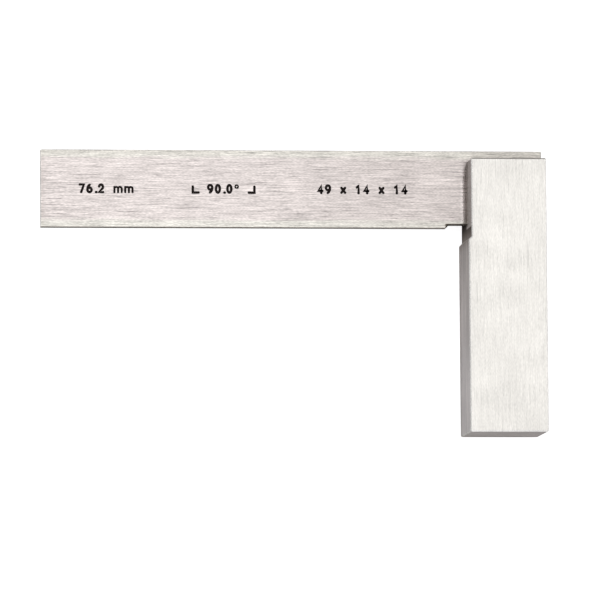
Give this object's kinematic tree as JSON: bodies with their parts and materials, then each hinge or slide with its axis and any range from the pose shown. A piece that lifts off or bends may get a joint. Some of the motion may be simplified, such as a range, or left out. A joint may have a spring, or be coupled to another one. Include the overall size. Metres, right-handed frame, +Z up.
{
  "type": "try square",
  "caption": "Small precision try square: a thin ground steel blade held at a right angle in a slot across the end of a square steel beam, with the inner corner cut clear.",
  "frame": {"origin": "centre of the beam's side face that the square lies on", "axes": "+X across the beam, away from the blade's tip; +Y along the beam towards the blade; +Z up, through the beam's thickness"},
  "size_m": [0.0904, 0.0511, 0.0141],
  "materials": {
    "beam_steel": "surface ground, fine grain along the beam",
    "blade_steel": "surface ground, coarse grain along the blade",
    "pin_steel": "ground flush with the beam",
    "etched_mark": "matt black, etched and filled"
  },
  "bodies": {
    "root": {"beam": "beam_steel", "blade": "blade_steel", "retaining_pin_1": "pin_steel", "retaining_pin_2": "pin_steel", "retaining_pin_3": "pin_steel"}
  },
  "joints": []
}
